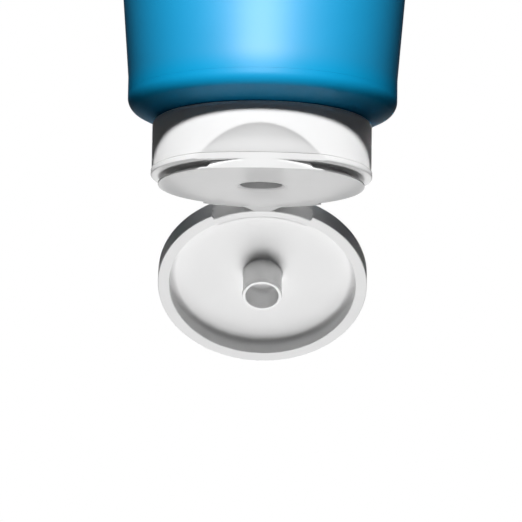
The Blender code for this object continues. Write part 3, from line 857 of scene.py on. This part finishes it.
class OBJECT_OT_film_hinge(bpy.types.Operator):
    """Middle strap and two snap webs that join the deck's rear edge to the lid"""

    bl_idname = "object.film_hinge"
    bl_label = "Film Hinge"

    def execute(self, context):
        sizes = context.scene.lid_sizes
        closure = context.scene.closure_sizes
        finish, _ = plastic("white_hinge", closure.white, closure.satin, spread=0.04, grain=0.03)
        thickness = sizes.web_thickness
        across = np.linspace(0, 1, 24)[:, None]
        down = np.linspace(0, 1, 16)[None]
        rim_radius = LID_RADIUS - sizes.rim_recess
        proud = thickness / 2 + 0.02 * MM

        def lid_wall(x, below):
            """Frame points just off the lid's set-back wall, at half-width x and depth below the rim."""
            radius = rim_radius + sizes.rim_recess * np.minimum(below / sizes.recess_height, 1) + proud
            y, z = np.sqrt(radius**2 - x**2), DECK_Z - CLEARANCE - below
            return swung_open(np.stack(np.broadcast_arrays(x, y, z), -1))

        for name, side in (("left", -1), ("right", 1)):
            inner = sizes.strap_half_width + 0.2 * MM
            x = side * (inner + (sizes.hinge_half_width - 0.15 * MM - inner) * across)
            from_rim = lid_wall(x, sizes.web_cover * (1 - down))
            top = from_rim[:, :1]
            deck_edge = np.stack([x, np.sqrt((SKIRT_RADIUS + proud) ** 2 - x**2), 0 * x + DECK_Z + sizes.web_rise], -1)
            bridge = np.linspace(0, 1, 12)[None, :-1, None]
            sheet = np.concatenate([deck_edge * (1 - bridge) + top * bridge, from_rim], 1)
            plate_piece(
                f"web_skin_{name}",
                sheet,
                thickness,
                finish,
                (Vector((0, 0.0209, DECK_Z)), Vector((0, 0.0216, DECK_Z))),
                [f"hinge_web_{name}"],
            )
        half = sizes.strap_half_width + 0.8 * MM - 2.6 * MM * down
        x = half * (2 * across - 1)
        y = 0.0200 + 0.00155 * down + 0 * x
        z = DECK_Z + 0.12 * MM - 0.74 * MM * down**1.3 + 0 * x
        plate_piece(
            "strap_skin",
            np.stack([x, y, z], -1),
            thickness,
            finish,
            (Vector((0, 0.0203, DECK_Z)), Vector((0, 0.0216, DECK_Z - 0.0007))),
            ["hinge_strap"],
        )
        return {"FINISHED"}


# ---------------------------------------------------------------- studio


def surroundings(tree, dim, backdrop):
    """White to the camera everywhere; in reflections and through glass, white only towards a backdrop behind.

    Every other ray meets a dim room. backdrop is the cosine of the angle from +Y at which the white ends.
    """
    nodes, links = tree.nodes, tree.links
    nodes.clear()
    path = nodes.new("ShaderNodeLightPath")
    place = nodes.new("ShaderNodeTexCoord")
    parts = nodes.new("ShaderNodeSeparateXYZ")
    links.new(place.outputs["Generated"], parts.inputs[0])
    behind = nodes.new("ShaderNodeMapRange")
    behind.interpolation_type = "SMOOTHSTEP"
    behind.inputs["From Min"].default_value = backdrop - 0.05
    behind.inputs["From Max"].default_value = backdrop + 0.05
    links.new(parts.outputs["Y"], behind.inputs["Value"])
    mirrored = nodes.new("ShaderNodeMath")
    mirrored.operation = "MAXIMUM"
    links.new(path.outputs["Is Glossy Ray"], mirrored.inputs[0])
    links.new(path.outputs["Is Transmission Ray"], mirrored.inputs[1])
    panel = nodes.new("ShaderNodeMath")
    panel.operation = "MULTIPLY"
    links.new(mirrored.outputs[0], panel.inputs[0])
    links.new(behind.outputs["Result"], panel.inputs[1])
    white = nodes.new("ShaderNodeMath")
    white.operation = "MAXIMUM"
    links.new(path.outputs["Is Camera Ray"], white.inputs[0])
    links.new(panel.outputs[0], white.inputs[1])
    unlit = nodes.new("ShaderNodeMath")
    unlit.operation = "SUBTRACT"
    unlit.inputs[0].default_value = 1.0
    links.new(mirrored.outputs[0], unlit.inputs[1])
    low = nodes.new("ShaderNodeBackground")
    low.inputs["Color"].default_value = (*dim, 1.0)
    links.new(unlit.outputs[0], low.inputs["Strength"])
    high = nodes.new("ShaderNodeBackground")
    high.inputs["Color"].default_value = (1.0, 1.0, 1.0, 1.0)
    mix = nodes.new("ShaderNodeMixShader")
    links.new(white.outputs[0], mix.inputs["Fac"])
    links.new(low.outputs[0], mix.inputs[1])
    links.new(high.outputs[0], mix.inputs[2])
    out = nodes.new("ShaderNodeOutputWorld")
    links.new(mix.outputs[0], out.inputs["Surface"])


def floor_finish():
    """A pale floor that keeps the tube's shadow.

    To the camera it glows at half strength over a pale diffuse surface, and from below it is clear. In reflections
    it is a white strip along the view, and to every other ray it is dark, so that it throws almost no light back up.
    """
    material = bpy.data.materials.new("studio_floor")
    material.use_nodes = True
    nodes, links = material.node_tree.nodes, material.node_tree.links
    nodes.clear()
    path = nodes.new("ShaderNodeLightPath")
    pale = nodes.new("ShaderNodeBsdfDiffuse")
    pale.inputs["Color"].default_value = (0.90, 0.90, 0.90, 1.0)
    dark = nodes.new("ShaderNodeBsdfDiffuse")
    dark.inputs["Color"].default_value = (0.02, 0.02, 0.02, 1.0)
    place = nodes.new("ShaderNodeTexCoord")
    parts = nodes.new("ShaderNodeSeparateXYZ")
    links.new(place.outputs["Object"], parts.inputs[0])
    aside = nodes.new("ShaderNodeMath")
    aside.operation = "ABSOLUTE"
    links.new(parts.outputs["X"], aside.inputs[0])
    strip = nodes.new("ShaderNodeMapRange")
    strip.interpolation_type = "SMOOTHSTEP"
    strip.inputs["From Min"].default_value = 0.13
    strip.inputs["From Max"].default_value = 0.04
    links.new(aside.outputs[0], strip.inputs["Value"])
    glow = nodes.new("ShaderNodeEmission")
    links.new(strip.outputs["Result"], glow.inputs["Strength"])
    seen = nodes.new("ShaderNodeMixShader")
    links.new(path.outputs["Is Camera Ray"], seen.inputs["Fac"])
    haze = nodes.new("ShaderNodeEmission")
    haze.inputs["Strength"].default_value = 0.45
    lifted = nodes.new("ShaderNodeAddShader")
    links.new(pale.outputs[0], lifted.inputs[0])
    links.new(haze.outputs[0], lifted.inputs[1])
    links.new(dark.outputs[0], seen.inputs[1])
    links.new(lifted.outputs[0], seen.inputs[2])
    mirrored = nodes.new("ShaderNodeMixShader")
    links.new(path.outputs["Is Glossy Ray"], mirrored.inputs["Fac"])
    links.new(seen.outputs[0], mirrored.inputs[1])
    links.new(glow.outputs[0], mirrored.inputs[2])
    under = nodes.new("ShaderNodeNewGeometry")
    clear = nodes.new("ShaderNodeBsdfTransparent")
    one_sided = nodes.new("ShaderNodeMixShader")
    links.new(under.outputs["Backfacing"], one_sided.inputs["Fac"])
    links.new(mirrored.outputs[0], one_sided.inputs[1])
    links.new(clear.outputs[0], one_sided.inputs[2])
    out = nodes.new("ShaderNodeOutputMaterial")
    links.new(one_sided.outputs[0], out.inputs["Surface"])
    return material


def receive(lamp, pieces):
    """Lets a light fall on the named pieces alone."""
    group = bpy.data.collections.new(f"{lamp.name}_receivers")
    for piece in pieces:
        group.objects.link(bpy.data.objects[piece])
    lamp.light_linking.receiver_collection = group


def sun(name, toward, strength, spread):
    """A distant light shining along toward; spread is its apparent size."""
    data = bpy.data.lights.new(name, "SUN")
    data.energy = strength
    data.angle = spread
    lamp = bpy.data.objects.new(name, data)
    lamp.rotation_euler = Vector(toward).to_track_quat("-Z", "Y").to_euler()
    bpy.context.scene.collection.objects.link(lamp)
    return lamp


class OBJECT_OT_tube_studio(bpy.types.Operator):
    """Camera, lights, plain floor and white surroundings"""

    bl_idname = "object.tube_studio"
    bl_label = "Studio"

    def execute(self, context):
        scene = context.scene
        studio = scene.studio_settings
        deck = Vector((0, 0, DECK_Z))
        out = Vector(
            (
                math.sin(studio.azimuth) * math.cos(studio.elevation),
                -math.cos(studio.azimuth) * math.cos(studio.elevation),
                math.sin(studio.elevation),
            )
        )
        data = bpy.data.cameras.new("studio_camera")
        data.lens = studio.lens
        data.sensor_width = 36.0
        data.clip_start = 0.01
        data.clip_end = 20.0
        camera = bpy.data.objects.new("studio_camera", data)
        camera.location = deck + out * studio.distance
        right = (-out).cross(Vector((0, 0, 1))).normalized()
        up = right.cross(-out)
        aim = deck - up * studio.drop + right * 0.17 * MM
        look = (aim - camera.location).to_track_quat("-Z", "Y")
        camera.rotation_mode = "QUATERNION"
        camera.rotation_quaternion = Quaternion((aim - camera.location).normalized(), studio.roll) @ look
        scene.collection.objects.link(camera)
        scene.camera = camera

        level, offset = math.cos(studio.key_elevation), studio.key_offset
        key = (level * math.sin(offset), level * math.cos(offset), -math.sin(studio.key_elevation))
        key_lamp = sun("key_light", key, studio.key_strength, math.radians(5))
        receive(key_lamp, WHITE_PIECES)
        receive(sun("skirt_key", key, studio.skirt_strength, math.radians(5)), ("skirt_skin",))
        tilt = studio.under_tilt
        under = (0.0, math.sin(tilt), math.cos(tilt))
        receive(sun("under_light", under, studio.under_strength, math.radians(24)), FACE_PIECES)
        lid_under = (0.0, -math.sin(studio.lid_tilt), math.cos(studio.lid_tilt))
        receive(sun("lid_light", lid_under, studio.lid_strength, math.radians(45)), LID_PIECES)
        receive(sun("skirt_under", under, studio.skirt_under, math.radians(24)), ("skirt_skin",))
        for name, side in (("left", -1), ("right", 1)):
            behind = (-side * math.sin(studio.side_turn), -math.cos(studio.side_turn), -0.3)
            side_lamp = sun(f"{name}_light", behind, studio.side_strength, math.radians(12))
            side_lamp.visible_glossy = False
            receive(side_lamp, WHITE_PIECES)
        strip = bpy.data.lights.new("strip_light", "AREA")
        strip.shape = "RECTANGLE"
        strip.size, strip.size_y = studio.strip_width, studio.strip_height
        strip.energy = studio.strip_power
        lamp = bpy.data.objects.new("strip_light", strip)
        lamp.location = (-0.004, -studio.strip_distance, SLEEVE_LOW.z + studio.strip_rise)
        lamp.rotation_euler = Vector((0, 1, -studio.strip_slope)).to_track_quat("-Z", "Y").to_euler()
        scene.collection.objects.link(lamp)
        receive(lamp, BLUE_PIECES)

        world = bpy.data.worlds.new("white_surroundings")
        world.use_nodes = True
        surroundings(world.node_tree, (0.04, 0.04, 0.042), 0.97)
        scene.world = world

        bpy.ops.mesh.primitive_plane_add(size=3.0, location=(0, 0, DECK_Z - studio.floor_drop))
        floor = context.active_object
        floor.name = "studio_floor"
        floor.data.materials.append(floor_finish())
        floor.visible_shadow = False
        back_lamp = sun("back_light", (0.0, -0.85, -0.53), studio.back_strength, math.radians(25))
        receive(back_lamp, (*BLUE_PIECES, "studio_floor"))

        scene.view_settings.view_transform = "Standard"
        return {"FINISHED"}


class VIEW3D_PT_squeeze_tube(bpy.types.Panel):
    """Lists the pieces in building order"""

    bl_label = "Squeeze Tube"
    bl_space_type = "VIEW_3D"
    bl_region_type = "UI"
    bl_category = "Squeeze Tube"

    def draw(self, context):
        column = self.layout.column(align=True)
        for operator in OPERATORS:
            column.operator(operator.bl_idname, text=operator.bl_label)
        for group in ("tube_sizes", "closure_sizes", "lid_sizes", "studio_settings"):
            settings = getattr(context.scene, group)
            box = self.layout.box()
            for name in settings.bl_rna.properties.keys():
                if name not in {"rna_type", "name"}:
                    box.prop(settings, name)


BLUE_PIECES = ("sleeve_skin", "head_skin")
LID_PIECES = ("lid_skin", "plug_skin")
FACE_PIECES = (*LID_PIECES, "deck_skin", "web_skin_left", "web_skin_right", "strap_skin")
WHITE_PIECES = ("skirt_skin", *FACE_PIECES)
OPERATORS = (
    OBJECT_OT_tube_sleeve,
    OBJECT_OT_tube_head,
    OBJECT_OT_closure_skirt,
    OBJECT_OT_closure_deck,
    OBJECT_OT_neck_collar,
    OBJECT_OT_flip_lid,
    OBJECT_OT_film_hinge,
    OBJECT_OT_tube_studio,
)
GROUPS = {
    "tube_sizes": TubeSizes,
    "closure_sizes": ClosureSizes,
    "lid_sizes": LidSizes,
    "studio_settings": StudioSettings,
}


def register():
    for group in (*GROUPS.values(), *OPERATORS, VIEW3D_PT_squeeze_tube):
        bpy.utils.register_class(group)
    for name, group in GROUPS.items():
        setattr(bpy.types.Scene, name, bpy.props.PointerProperty(type=group))


def unregister():
    for name in GROUPS:
        delattr(bpy.types.Scene, name)
    for group in (VIEW3D_PT_squeeze_tube, *reversed(OPERATORS), *GROUPS.values()):
        bpy.utils.unregister_class(group)


def main():
    register()
    for operator in OPERATORS:
        section, name = operator.bl_idname.split(".")
        getattr(getattr(bpy.ops, section), name)()


if __name__ == "__main__":
    main()
